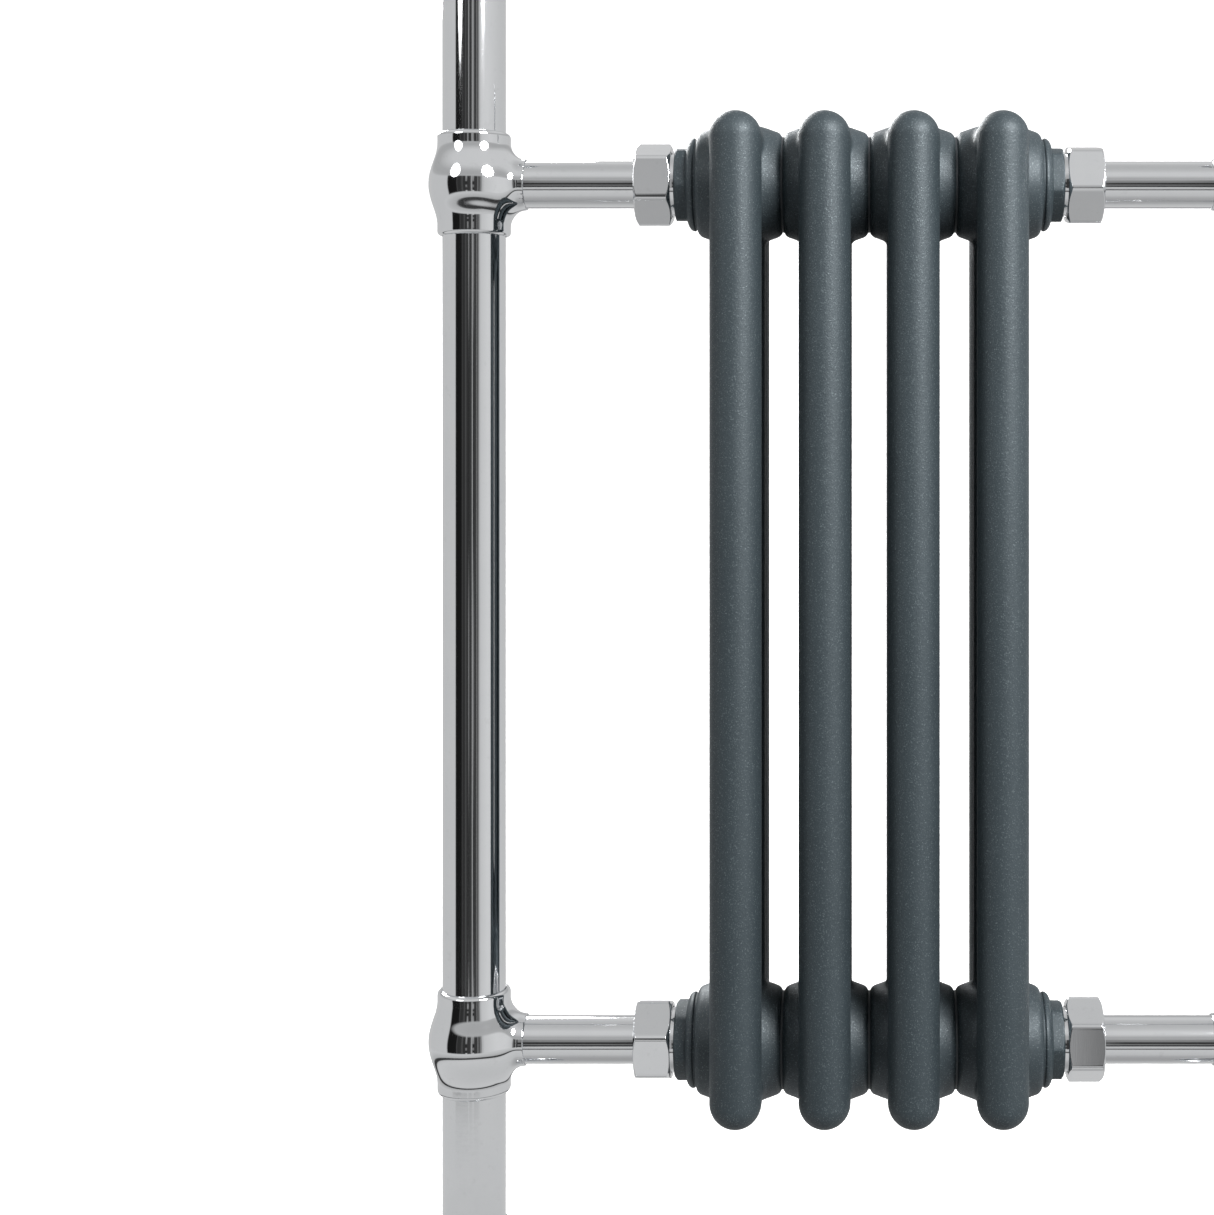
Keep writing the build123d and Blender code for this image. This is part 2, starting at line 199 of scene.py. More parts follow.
def enamel(name, peel_height):
    """Slate grey stoving enamel on cast iron: orange peel over the sand-cast skin, and a fine fleck."""
    paint = Finish(name, Metallic=0.30, Specular_IOR_Level=0.75)
    cast_skin = paint.noise(300.0, 4.0, 0.6)
    peel = paint.noise(950.0, 2.0, 0.5)
    fleck = paint.noise(1500.0, 2.0, 0.6)
    drift = paint.noise(14.0, 3.0, 0.5)
    shade = drift * 0.6 + cast_skin * 0.4
    base = paint.blended(shade, (0.026, 0.039, 0.047, 1), (0.052, 0.072, 0.083, 1))
    glint = paint.between(fleck, 0.56, 0.72)
    paint.feed("Base Color", paint.blended(glint * 0.75, base, (0.17, 0.21, 0.225, 1)))
    paint.feed("Roughness", 0.47 + peel * 0.10 - glint * 0.14 + drift * 0.05)
    paint.bumped(cast_skin * 0.35 + peel * 0.3 + fleck * 0.35, peel_height)
    return paint.material


def plated(name, wave_height, brush=None):
    """Bright chrome over brass: a soft wave left by polishing, faint haze, and brushing on some faces."""
    chrome = Finish(name, Metallic=1.0)
    wave = chrome.noise(38.0, 1.0, 0.4)
    haze = chrome.noise(60.0, 5.0, 0.65)
    water_mark = chrome.between(chrome.noise(210.0, 3.0, 0.6), 0.60, 0.72)
    warm = chrome.blended(haze, (0.80, 0.81, 0.82, 1), (0.74, 0.755, 0.775, 1))
    chrome.feed("Base Color", chrome.blended(water_mark * 0.25, warm, (0.66, 0.67, 0.68, 1)))
    if brush:
        lines = chrome.noise(1.0, 4.0, 0.7, chrome.stretched(brush))
        chrome.feed("Roughness", 0.025 + haze * 0.03 + lines * 0.06)
        chrome.bumped(wave * 0.8 + lines * 0.06, wave_height)
    else:
        chrome.feed("Roughness", 0.035 + haze * 0.035 + water_mark * 0.03)
        chrome.bumped(wave, wave_height)
    return chrome.material


def bare_metal(name, light, dark, polish):
    """Turned metal with no plating: tool lines, tarnish in blotches."""
    metal = Finish(name, Metallic=1.0)
    blotch = metal.noise(120.0, 4.0, 0.6)
    tool_lines = metal.noise(1.0, 3.0, 0.6, metal.stretched((2600.0, 300.0, 300.0)))
    metal.feed("Base Color", metal.blended(blotch, light, dark))
    metal.feed("Roughness", polish + blotch * 0.18 + tool_lines * 0.1)
    metal.bumped(tool_lines, 0.02 * MM)
    return metal.material


def soft_ring(name, light, dark, polish):
    """Pressed fibre, graphite or polymer: matt, with short specks."""
    ring = Finish(name)
    specks = ring.noise(1400.0, 4.0, 0.7)
    cloud = ring.noise(160.0, 3.0, 0.5)
    ring.feed("Base Color", ring.blended(specks * 0.6 + cloud * 0.4, dark, light))
    ring.feed("Roughness", polish + specks * 0.15)
    ring.bumped(specks, 0.03 * MM)
    return ring.material


finishes = {
    "painted_cast_iron": enamel("slate_enamel_on_casting", 0.28 * MM),
    "painted_bush_iron": enamel("slate_enamel_on_bush", 0.12 * MM),
    "nipple_iron": bare_metal("nipple_iron", (0.20, 0.19, 0.18, 1), (0.10, 0.085, 0.075, 1), 0.42),
    "joint_ring": soft_ring("joint_ring", (0.070, 0.080, 0.088, 1), (0.035, 0.042, 0.048, 1), 0.50),
    "chrome_plated_brass": plated("chrome_on_fittings", 0.10 * MM),
    "chrome_plated_tube": plated("chrome_on_tube", 0.03 * MM, (60.0, 900.0, 900.0)),
    "seal_fibre": soft_ring("seal_fibre", (0.33, 0.10, 0.06, 1), (0.20, 0.055, 0.035, 1), 0.65),
    "slip_washer_polymer": soft_ring(
        "slip_washer_polymer", (0.72, 0.70, 0.64, 1), (0.58, 0.56, 0.50, 1), 0.35
    ),
    "bare_brass": bare_metal("bare_brass", (0.62, 0.43, 0.17, 1), (0.45, 0.29, 0.11, 1), 0.26),
}
nut_chrome = plated("chrome_on_nut", 0.04 * MM, (1400.0, 90.0, 90.0))


# ---------------------------------------------------------------- ways of making a mesh


def piece(name, points, faces, nodes, slot, finish=None, normals=None, sharp=35.0):
    """A finished piece at its place in the frame, riding with the CAD nodes that it stands for."""
    mesh = bpy.data.meshes.new(name)
    mesh.from_pydata(points.tolist(), [], faces.tolist())
    mesh.materials.append(finish or finishes[slot])
    mesh.shade_smooth()
    made = bpy.data.objects.new(name, mesh)
    bpy.context.scene.collection.objects.link(made)
    if normals is not None:
        mesh.normals_split_custom_set_from_vertices(normals.tolist())
    else:
        mesh.set_sharp_from_angle(angle=math.radians(sharp))
        evened = made.modifiers.new("flats keep their shading", "WEIGHTED_NORMAL")
        evened.keep_sharp = True
    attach(made, frame["nodes"][nodes[0]]["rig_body"])
    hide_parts(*nodes)


def rounded(corners):
    """The closed outline through corners of (along, radius, rounding), in the order given."""
    outline = []
    for index, (along, radius, rounding) in enumerate(corners):
        corner = Vector((along, radius))
        before = (Vector(corners[index - 1][:2]) - corner).normalized()
        after = (Vector(corners[(index + 1) % len(corners)][:2]) - corner).normalized()
        if rounding == 0:
            outline.append(corner)
            continue
        half = before.angle(after) / 2
        centre = corner + (before + after).normalized() * rounding / math.sin(half)
        start = corner + before * rounding / math.tan(half) - centre
        turn = start.angle_signed(corner + after * rounding / math.tan(half) - centre)
        steps = max(3, round(abs(turn) / math.radians(9)))
        for step in range(steps + 1):
            share = -turn * step / steps
            spun_x = start.x * math.cos(share) - start.y * math.sin(share)
            spun_y = start.x * math.sin(share) + start.y * math.cos(share)
            outline.append(centre + Vector((spun_x, spun_y)))
    return np.array([tuple(p) for p in outline])


def spun(origin, axis, alongs, radii, steps=160):
    """A closed outline turned about an axis. Each row of radii is one radius or one for each step round."""
    alongs = np.asarray(alongs, float)
    radii = np.asarray(radii, float)
    if radii.ndim == 1:
        radii = np.repeat(radii[:, None], steps, axis=1)
    rows, steps = radii.shape
    angles = np.arange(steps) * 2 * np.pi / steps
    first, second = cross_directions(axis)
    spokes = np.outer(np.cos(angles), first) + np.outer(np.sin(angles), second)
    points = np.array(origin) + alongs[:, None, None] * np.array(axis) + radii[:, :, None] * spokes
    grid = np.arange(rows * steps).reshape(rows, steps)
    corners = (grid, np.roll(grid, -1, 1), np.roll(np.roll(grid, -1, 0), -1, 1), np.roll(grid, -1, 0))
    faces = np.stack([c.ravel() for c in corners], axis=1)
    points = points.reshape(-1, 3)
    return points, outward(points, faces)


def outward(points, faces):
    """The faces, turned over if their normals point inwards."""
    a, b, c = points[faces[:, 0]], points[faces[:, 1]], points[faces[:, 2]]
    d = points[faces[:, 3]]
    volume = np.einsum("ij,ij->", a, np.cross(b, c)) + np.einsum("ij,ij->", a, np.cross(c, d))
    return faces[:, ::-1] if volume < 0 else faces


def prism_radius(angles, across_flats, sides, turn, corner_round):
    """The radius of a regular bar at each angle, its corners eased."""
    step = 2 * np.pi / sides
    from_face = (angles - turn) % step - step / 2
    sharp = across_flats / 2 / np.cos(from_face)
    return soft_least(sharp, across_flats / 2 / math.cos(step / 2) - corner_round, 2 * corner_round)


def soft_least(a, b, blend):
    """The lesser of two fields, joined by a fillet about as wide as blend."""
    share = np.maximum(blend - np.abs(a - b), 0) / blend
    return np.minimum(a, b) - share * share * blend / 4


def soft_most(a, b, blend):
    """The greater of two fields, joined by a fillet about as wide as blend."""
    return -soft_least(-a, -b, blend)


def meet(a, b, rounding):
    """What lies inside both fields, with a round edge."""
    a, b = a + rounding, b + rounding
    return np.minimum(np.maximum(a, b), 0) + np.hypot(np.maximum(a, 0), np.maximum(b, 0)) - rounding


def skinned(field, xs, ys, zs):
    """The surface where a field is zero, as quads: one point for each crossed cell, drawn onto the field."""
    grid = np.meshgrid(xs, ys, zs, indexing="ij")
    values = field(*grid)
    inside = values < 0
    lattice = np.stack(grid, axis=-1)
    cells = np.array(values.shape) - 1
    total = np.zeros((*cells, 3))
    crossings = np.zeros(cells)
    quads = []
    edges = {}
    for axis in range(3):
        lower = [slice(None)] * 3
        upper = [slice(None)] * 3
        lower[axis], upper[axis] = slice(None, -1), slice(1, None)
        lower, upper = tuple(lower), tuple(upper)
        crossed = inside[lower] != inside[upper]
        share = np.where(crossed, values[lower] / np.where(crossed, values[lower] - values[upper], 1), 0)
        crossing = lattice[lower] + (lattice[upper] - lattice[lower]) * share[..., None]
        edges[axis] = crossed
        others = [a for a in range(3) if a != axis]
        for first in (0, 1):
            for second in (0, 1):
                part = [slice(None)] * 3
                part[others[0]] = slice(first, first + cells[others[0]])
                part[others[1]] = slice(second, second + cells[others[1]])
                part = tuple(part)
                total += crossing[part] * crossed[part][..., None]
                crossings += crossed[part]
    used = crossings > 0
    number = np.full(cells, -1)
    number[used] = np.arange(used.sum())
    points = total[used] / crossings[used][:, None]
    for axis in range(3):
        others = [(axis + 1) % 3, (axis + 2) % 3]
        found = np.argwhere(edges[axis])
        rows = []
        for back in ((0, 0), (1, 0), (1, 1), (0, 1)):
            cell = found.copy()
            cell[:, others[0]] -= back[0]
            cell[:, others[1]] -= back[1]
            rows.append(number[tuple(cell.T)])
        quad = np.stack(rows, axis=1)
        solid_behind = inside[tuple(found.T)]
        quad[~solid_behind] = quad[~solid_behind][:, ::-1]
        quads.append(quad)
    for _ in range(4):
        slope = gradient(field, points)
        height = field(*points.T)
        step = slope * (height / np.maximum((slope**2).sum(1), 1e-6))[:, None]
        points = points - np.clip(step, -0.5, 0.5)
    slope = gradient(field, points)
    normals = slope / np.linalg.norm(slope, axis=1, keepdims=True)
    return points, np.concatenate(quads), normals


def gradient(field, points, reach=0.02):
    """The slope of a field at each point."""
    columns = []
    for axis in range(3):
        offset = np.zeros(3)
        offset[axis] = reach
        columns.append((field(*(points + offset).T) - field(*(points - offset).T)) / (2 * reach))
    return np.stack(columns, axis=1)


# ---------------------------------------------------------------- painted casting, in mm about its middle

SECTION = {
    "column": 12.86,
    "row": 37.5,
    "ridge": 19.3,
    "web": 9.5,
    "web_drop": 36.0,
    "arch": 5.85,
    "barrel": 29.6,
    "barrel_flat": 11.6,
    "barrel_reach": 21.7,
    "flare": 0.36,
    "rim": 2.6,
    "bore": 15.95,
}


def casting_field(x, y, z):
    """One section about its own middle: columns, half-round heads, webs and barrels, run together as cast."""
    s = SECTION
    hub = hub_reach / MM
    height = np.abs(z) - hub
    ridge = height - s["ridge"]
    nearest_row = np.clip(np.round(y / s["row"]), -1, 1) * s["row"]
    columns = np.sqrt(x * x + (y - nearest_row) ** 2 + np.maximum(ridge, 0) ** 2) - s["column"]
    beyond_rows = np.maximum(np.abs(y) - s["row"], 0)
    head = np.sqrt(x * x + beyond_rows**2 + ridge**2) - s["column"]
    within_rows = np.clip((s["row"] - np.abs(y)) / 8, 0, 1)
    body = np.minimum(columns, head)
    body = body + (soft_least(columns, head, 0.8) - body) * within_rows
    plate = meet(np.abs(x) - s["web"], np.abs(y) - s["row"], 1.5)
    plate = meet(plate, np.maximum(ridge, -s["web_drop"] - height), 1.5)
    arch = np.hypot(np.abs(y) - s["row"] / 2, height + s["web_drop"]) - s["arch"]
    plate = soft_most(plate, -arch, 2.5)
    body = soft_least(body, plate, 3.2)
    spread = np.abs(x) - s["barrel_flat"]
    flare = s["flare"] * (spread + np.sqrt(spread * spread + 2.0)) / 2
    round_hub = np.hypot(y, height) - (s["barrel"] - flare)
    barrel = meet(round_hub, np.abs(x) - s["barrel_reach"], s["rim"])
    body = soft_least(body, barrel, 3.0)
    bore = np.hypot(y, height) - s["bore"]
    return np.maximum(body, -bore)


def casting_grid():
    """Fine steps round the heads and barrels, and long ones down the plain columns."""
    fine = 1.1
    wide = section_reach.x / MM + fine
    deep = section_reach.y / MM + fine
    tall = section_reach.z / MM + fine
    plain = hub_reach / MM - SECTION["web_drop"] - 14
    head_steps = np.linspace(plain, tall, round((tall - plain) / fine) + 1)
    column_steps = np.linspace(-plain, plain, round(2 * plain / 6.0) + 1)
    heights = np.concatenate([-head_steps[::-1], column_steps[1:-1], head_steps])
    return (
        np.linspace(-wide, wide, round(2 * wide / fine) + 1),
        np.linspace(-deep, deep, round(2 * deep / fine) + 1),
        heights,
    )


cast_points, cast_faces, cast_normals = skinned(casting_field, *casting_grid())
for number in section_numbers:
    nodes = [f"section_{number}_heads", f"section_{number}_columns"]
    placed = cast_points * MM + np.array(middle(nodes[0]))
    piece(f"casting_{number}", placed, cast_faces, nodes, "painted_cast_iron", normals=cast_normals)


# ---------------------------------------------------------------- hexagons, unions and rail tubes

# How far each hexagon has turned from corner up towards the front, in degrees
NUT_TURN = {
    ("upper", "left"): 54.0,
    ("upper", "right"): 41.0,
    ("lower", "left"): 11.0,
    ("lower", "right"): 55.0,
}
BUSH_TURN = {
    ("upper", "left"): 37.5,
    ("upper", "right"): 45.5,
    ("lower", "left"): 43.0,
    ("lower", "right"): 29.0,
}
NUT_ACROSS_FLATS = 37.6
NUT_BORE = 16.6
NUT_LIP_BORE = 12.35
NUT_LIP = 3.1
BUSH_ACROSS_FLATS = 36.0
BUSH_BORE = 12.65
BUSH_HEX = 6.0
BUSH_LENGTH = 10.0
FLANGE_RADIUS = 23.7
THREAD_PITCH = 2.309
THREAD_RADIUS = 16.55
THREAD_LENGTH = 9.0
THREAD_DEPTH = 1.25
NECK_LENGTH = 2.7
TAIL_BORE = 9.5
TAIL_SHANK = 12.5
RAIL_RADIUS = 12.0
RAIL_BORE = 10.8
RAIL_COLLAR = 15.8
RAIL_COLLAR_LENGTH = 2.8


def hexagon_rows(length, across_flats, angles, turn, corner_round=0.35):
    """Places along a hexagon bar and its radius at each angle, with the corners turned down at both ends."""
    ends = np.concatenate([[0.0, 0.12], np.linspace(0.3, 3.3, 13)])
    alongs = np.concatenate([ends, np.linspace(3.3, length - 3.3, 10)[1:-1], length - ends[::-1]])
    alongs = np.unique(np.clip(alongs, 0, length))
    bar = prism_radius(angles, across_flats, 6, turn, corner_round)
    from_end = np.minimum(alongs, length - alongs)
    turned_down = across_flats / 2 + from_end / math.tan(math.radians(30)) - 0.1
    edge = np.sqrt(np.maximum(0.35**2 - np.maximum(0.35 - from_end, 0) ** 2, 0)) - 0.35
    radii = soft_least(bar[None, :], turned_down[:, None], 0.35) + edge[:, None]
    return alongs, radii


def nut_piece(level, side):
    """A chrome union nut: thread clearance bored from the near end, and the lip at its far end."""
    node = f"{level}_{side}_union_nut"
    axis = Vector((SIDES[side], 0, 0))
    steps = 360
    angles = np.arange(steps) * 2 * np.pi / steps
    far = 2 * reach(node).x / MM
    turn = SIDES[side] * math.radians(NUT_TURN[level, side])
    alongs, radii = hexagon_rows(far, NUT_ACROSS_FLATS, angles, turn)
    inside = [
        (far, NUT_LIP_BORE + 0.3),
        (far - 0.3, NUT_LIP_BORE),
        (far - NUT_LIP, NUT_LIP_BORE),
        (far - NUT_LIP, NUT_BORE),
        (0.5, NUT_BORE),
        (0.0, NUT_BORE + 0.6),
    ]
    alongs = np.concatenate([alongs, [along for along, _ in inside]])
    bores = np.repeat(np.array([[radius] for _, radius in inside]), steps, axis=1)
    radii = np.concatenate([radii, bores])
    points, faces = spun(middle(node) - axis * reach(node).x, axis, alongs * MM, radii * MM, steps)
    piece(f"{level}_{side}_hexagon_nut", points, faces, [node], "chrome_plated_brass", nut_chrome, sharp=50.0)


def bush_piece(level, side):
    """A painted end bush: domed flange, and a hexagon whose corners run into it."""
    node = f"{level}_{side}_bush"
    axis = Vector((SIDES[side], 0, 0))
    steps = 360
    angles = np.arange(steps) * 2 * np.pi / steps
    outer = middle(node) + axis * reach(node).x
    flange_start = outer - axis * BUSH_LENGTH * MM
    turn = SIDES[side] * math.radians(BUSH_TURN[level, side])
    alongs, hexagon = hexagon_rows(BUSH_HEX + 3.4, BUSH_ACROSS_FLATS, angles, turn, 0.8)
    alongs = alongs + 0.6
    rise = np.clip((alongs - 0.6) / 3.4, 0, 1)
    dome = FLANGE_RADIUS - 4.9 * (1 - np.sqrt(1 - np.minimum(rise, 0.999) ** 2.2)) ** 0.9
    dome = np.where(alongs > 4.0, 18.0, dome)
    radii = -soft_least(-hexagon, -np.repeat(dome[:, None], steps, axis=1), 1.6)
    neck = [(-0.35, BUSH_BORE), (-0.35, 22.7), (-0.2, 23.15), (0.1, 23.5), (0.4, 23.65)]
    alongs = np.concatenate([[a for a, _ in neck], alongs, [BUSH_LENGTH]])
    rows = [np.full((1, steps), radius) for _, radius in neck] + [radii, np.full((1, steps), BUSH_BORE)]
    points, faces = spun(flange_start, axis, alongs * MM, np.concatenate(rows) * MM, steps)
    piece(f"{level}_{side}_end_bush", points, faces, [node], "painted_bush_iron", sharp=55.0)


def tail_piece(level, side):
    """The fixed half of a union: smooth neck, and the thread that the nut runs on."""
    node = f"{level}_{side}_union_tail"
    axis = Vector((SIDES[side], 0, 0))
    steps = 180
    angles = np.arange(steps) * 2 * np.pi / steps
    outer = reach(node).x * 2 / MM
    near = middle(node) - axis * reach(node).x
    thread_start = outer - THREAD_LENGTH
    neck_start = thread_start - NECK_LENGTH
    alongs = np.arange(thread_start, outer, 0.19)
    phase = (alongs[:, None] / THREAD_PITCH - SIDES[side] * angles[None, :] / (2 * np.pi)) % 1
    groove = 1 - np.abs(2 * phase - 1) * 1.25
    fade = np.clip(np.minimum(alongs - thread_start, outer - alongs) / 0.9, 0, 1)
    cut = THREAD_DEPTH * np.clip(groove, 0, 1) * fade[:, None]
    thread = THREAD_RADIUS - cut - 0.5 * (1 - fade[:, None])
    plain = [
        (0.0, TAIL_BORE),
        (0.0, TAIL_SHANK),
        (neck_start, TAIL_SHANK),
        (neck_start, 15.6),
        (neck_start + 0.3, 15.9),
        (thread_start - 0.3, 15.9),
    ]
    alongs = np.concatenate([[a for a, _ in plain], alongs, [outer, outer]])
    rows = [np.full((1, steps), radius) for _, radius in plain]
    rows += [thread, np.full((1, steps), 15.6), np.full((1, steps), TAIL_BORE)]
    points, faces = spun(near, axis, alongs * MM, np.concatenate(rows) * MM, steps)
    piece(f"{level}_{side}_threaded_tail", points, faces, [node], "chrome_plated_brass", sharp=60.0)


def tube_piece(level, side):
    """A rail tube with its brazed collar."""
    node = f"{level}_{side}_rail_tube"
    axis = Vector((SIDES[side], 0, 0))
    near = middle(node) - axis * reach(node).x
    length = 2 * reach(node).x / MM
    outline = rounded(
        [
            (0, RAIL_BORE, 0.3),
            (0, RAIL_COLLAR, 0.4),
            (RAIL_COLLAR_LENGTH, RAIL_COLLAR, 0.5),
            (RAIL_COLLAR_LENGTH, RAIL_RADIUS, 0.8),
            (length, RAIL_RADIUS, 0.3),
            (length, RAIL_BORE, 0.2),
        ]
    )
    points, faces = spun(near, axis, outline[:, 0] * MM, outline[:, 1] * MM)
    piece(f"{level}_{side}_chrome_rail", points, faces, [node], "chrome_plated_tube")


for level in LEVELS:
    for side in SIDES:
        bush_piece(level, side)
        tail_piece(level, side)
        tube_piece(level, side)
        nut_piece(level, side)


# ---------------------------------------------------------------- ball tees and posts

TEE = {
    "collar": 18.55,
    "rim": 2.2,
    "branch": 13.0,
    "mouth": 0.5,
    "socket": 16.05,
    "post_bore": 14.5,
    "branch_socket": 12.05,
    "branch_bore": 10.8,
    "post_socket_depth": 12.0,
    "branch_socket_depth": 10.0,
}
POST_RADIUS = 16.0
CAP_SOCKET_DEPTH = 7.0
CAP_VENT_BORE = 4.9
TEE_STEP = 0.72
FOOT_STEP = 0.8
tee_size = reach("upper_right_tee") / MM
tee_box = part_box("upper_right_tee")
tee_branch_reach = (post_reach - tee_box[0].x) / MM


def tee_field(x, y, z):
    """A ball tee about the middle of its ball, its branch along +X."""
    t = TEE
    upright = np.hypot(x, y)
    level = np.hypot(y, z)
    collars = meet(upright - t["collar"], np.abs(z) - tee_size.z, t["rim"])
    branch = meet(level - t["branch"], np.abs(x - tee_branch_reach / 2) - tee_branch_reach / 2, t["mouth"])
    ball = np.sqrt(x * x + y * y + z * z) - tee_size.y
    body = soft_least(soft_least(collars, branch, 9.0), ball, 5.0)
    way = upright - t["post_bore"]
    stop = tee_size.z - t["post_socket_depth"]
    sockets = np.maximum(upright - t["socket"], stop - np.abs(z))
    branch_way = np.maximum(level - t["branch_bore"], -x)
    branch_socket = np.maximum(level - t["branch_socket"], tee_branch_reach - t["branch_socket_depth"] - x)
    hollow = np.minimum(np.minimum(way, sockets), np.minimum(branch_way, branch_socket))
    return np.maximum(body, -hollow)


tee_points, tee_faces, tee_normals = skinned(
    tee_field,
    np.arange(-tee_size.y - TEE_STEP, tee_branch_reach + 2 * TEE_STEP, TEE_STEP),
    np.arange(-tee_size.y - TEE_STEP, tee_size.y + 2 * TEE_STEP, TEE_STEP),
    np.arange(-tee_size.z - TEE_STEP, tee_size.z + 2 * TEE_STEP, TEE_STEP),
)


def ring_piece(name, node, slot, corners):
    """An upright turned piece on a post's axis, from corners of (height, radius, rounding) above its foot."""
    outline = rounded(corners)
    centre = middle(node)
    foot = Vector((math.copysign(post_reach, centre.x), 0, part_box(node)[0].z))
    points, faces = spun(foot, UP, outline[:, 0] * MM, outline[:, 1] * MM)
    piece(name, points, faces, [node], slot)


for side, sign in SIDES.items():
    for level in LEVELS:
        turned = np.array([-sign, -sign, 1])
        centre = np.array([sign * post_reach, 0, hub_heights[level]])
        node = f"{level}_{side}_tee"
        points = tee_points * turned * MM + centre
        normals = tee_normals * turned
        piece(f"{level}_{side}_ball_tee", points, tee_faces, [node], "chrome_plated_brass", normals=normals)
    for level in ("lower", "middle", "upper"):
        node = f"{level}_{side}_post"
        length = 2 * reach(node).z / MM
        bore = TEE["post_bore"]
        wall = [(0, bore, 0.2), (0, POST_RADIUS, 0.4), (length, POST_RADIUS, 0.4), (length, bore, 0.2)]
        ring_piece(f"{level}_{side}_post_tube", node, "chrome_plated_tube", wall)
    cap = 2 * reach(f"{side}_cap").z / MM
    crown = [
        (0, TEE["socket"], 0.3),
        (0, TEE["collar"], 1.2),
        (cap, TEE["collar"], 5.0),
        (cap, CAP_VENT_BORE, 0.3),
        (CAP_SOCKET_DEPTH, CAP_VENT_BORE, 0),
        (CAP_SOCKET_DEPTH, TEE["socket"], 0),
    ]
    ring_piece(f"{side}_post_cap", f"{side}_cap", "chrome_plated_brass", crown)


# ---------------------------------------------------------------- air vents and feet

VENT_ACROSS_FLATS = 12.0
VENT_HEX = 4.0
VENT_BORE = 2.6
VENT_THREAD = 4.85
VENT_PITCH = 1.0
KEY_SQUARE = 5.0
KEY_HEIGHT = 4.0
KEY_CHAMFER = 0.5
FOOT = {
    "edge": 2.6,
    "sweep": 14.5,
    "collar": 18.65,
    "rim": 1.6,
    "socket": 16.05,
    "screw_circle": 26.0,
    "screw_hole": 2.75,
}


def foot_field(x, y, z):
    """A floor flange about the post's axis, its concave sweep running up to the collar."""
    f = FOOT
    size = reach("right_foot") / MM
    top = 2 * size.z
    out = size.y
    corner = np.array([out, f["edge"]])
    collar = np.array([f["collar"], top - f["rim"]])
    chord = collar - corner
    half = np.linalg.norm(chord) / 2
    across = np.array([-chord[1], chord[0]]) / (2 * half)
    centre = (corner + collar) / 2 - across * math.sqrt(f["sweep"] ** 2 - half**2)
    round_post = np.hypot(x, y)
    swept = f["sweep"] - np.hypot(round_post - centre[0], z - centre[1])
    body = meet(meet(round_post - out, z - top, f["rim"]), -z, 0.3)
    body = soft_most(body, np.where(z > f["edge"] - 4, swept, -10.0), 0.5)
    body = np.maximum(body, f["socket"] - round_post)
    angles = np.arctan2(x, y)
    third = 2 * np.pi / 3
    folded = (angles + third / 2) % third - third / 2
    hole_x, hole_y = round_post * np.sin(folded), round_post * np.cos(folded) - f["screw_circle"]
    hole = np.hypot(hole_x, hole_y)
    return np.maximum(body, f["screw_hole"] - hole)


for side, sign in SIDES.items():
    size = reach(f"{side}_foot") / MM
    centre = np.array([sign * post_reach, 0, 0])
    points, faces, normals = skinned(
        foot_field,
        np.arange(-size.y - FOOT_STEP, size.y + 2 * FOOT_STEP, FOOT_STEP),
        np.arange(-size.y - FOOT_STEP, size.y + 2 * FOOT_STEP, FOOT_STEP),
        np.arange(-FOOT_STEP, 2 * size.z + 2 * FOOT_STEP, FOOT_STEP),
    )
    placed = points * MM + centre
    piece(f"{side}_floor_flange", placed, faces, [f"{side}_foot"], "chrome_plated_brass", normals=normals)


def vent_body_piece(side):
    """The air vent's seat: a threaded shank with a small hexagon on top, bored for its screw."""
    node = f"{side}_vent_body"
    size = 2 * reach(node).z / MM
    steps = 180
    angles = np.arange(steps) * 2 * np.pi / steps
    bar = prism_radius(angles, VENT_ACROSS_FLATS, 6, 0.0, 0.2)
    hex_start = size - VENT_HEX
    threads = np.arange(0.3, hex_start - 0.3, 0.1)
    phase = (threads[:, None] / VENT_PITCH - angles[None, :] / (2 * np.pi)) % 1
    threaded = VENT_THREAD - 0.5 * np.abs(2 * phase - 1)
    turned_down = [(hex_start, 5.4), (hex_start + 0.05, 5.75), (hex_start + 0.6, 9.0), (size - 0.6, 9.0)]
    turned_down += [(size - 0.3, 6.25), (size - 0.05, 5.8), (size, 5.5)]
    hexagon = [soft_least(bar, np.full(steps, radius), 0.3) for _, radius in turned_down]
    ends = [(size, VENT_BORE + 0.25), (size - 0.25, VENT_BORE), (0.0, VENT_BORE), (0.0, VENT_THREAD - 0.5)]
    alongs = np.concatenate([threads, [a for a, _ in turned_down], [a for a, _ in ends]])
    radii = np.concatenate([threaded, hexagon, [np.full(steps, radius) for _, radius in ends]])
    foot = Vector((middle(node).x, 0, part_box(node)[0].z))
    points, faces = spun(foot, UP, alongs * MM, radii * MM, steps)
    piece(f"{side}_vent_seat", points, faces, [node], FRAME_SLOT[node], sharp=45.0)


def vent_screw_piece(side):
    """The air vent's screw: a round shank and a square head for the key."""
    node = f"{side}_vent_screw"
    size = 2 * reach(node).z / MM
    steps = 160
    angles = np.arange(steps) * 2 * np.pi / steps
    square = prism_radius(angles, KEY_SQUARE, 4, math.radians(45), 0.25)
    shank = size - KEY_HEIGHT
    rows = [
        (0.0, np.full(steps, 0.02)),
        (0.0, np.full(steps, VENT_BORE - 0.4)),
        (0.3, np.full(steps, VENT_BORE - 0.1)),
        (shank, np.full(steps, VENT_BORE - 0.1)),
        (shank, square - 0.15),
        (shank + 0.12, square),
        (size - KEY_CHAMFER, square),
        (size - 0.02, square - KEY_CHAMFER),
        (size, square - KEY_CHAMFER - 0.1),
        (size, np.full(steps, 0.02)),
    ]
    foot = Vector((middle(node).x, 0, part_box(node)[0].z))
    alongs = np.array([along for along, _ in rows])
    points, faces = spun(foot, UP, alongs * MM, np.array([radii for _, radii in rows]) * MM, steps)
    piece(f"{side}_vent_key_screw", points, faces, [node], FRAME_SLOT[node], sharp=40.0)


for side in SIDES:
    vent_body_piece(side)
    vent_screw_piece(side)


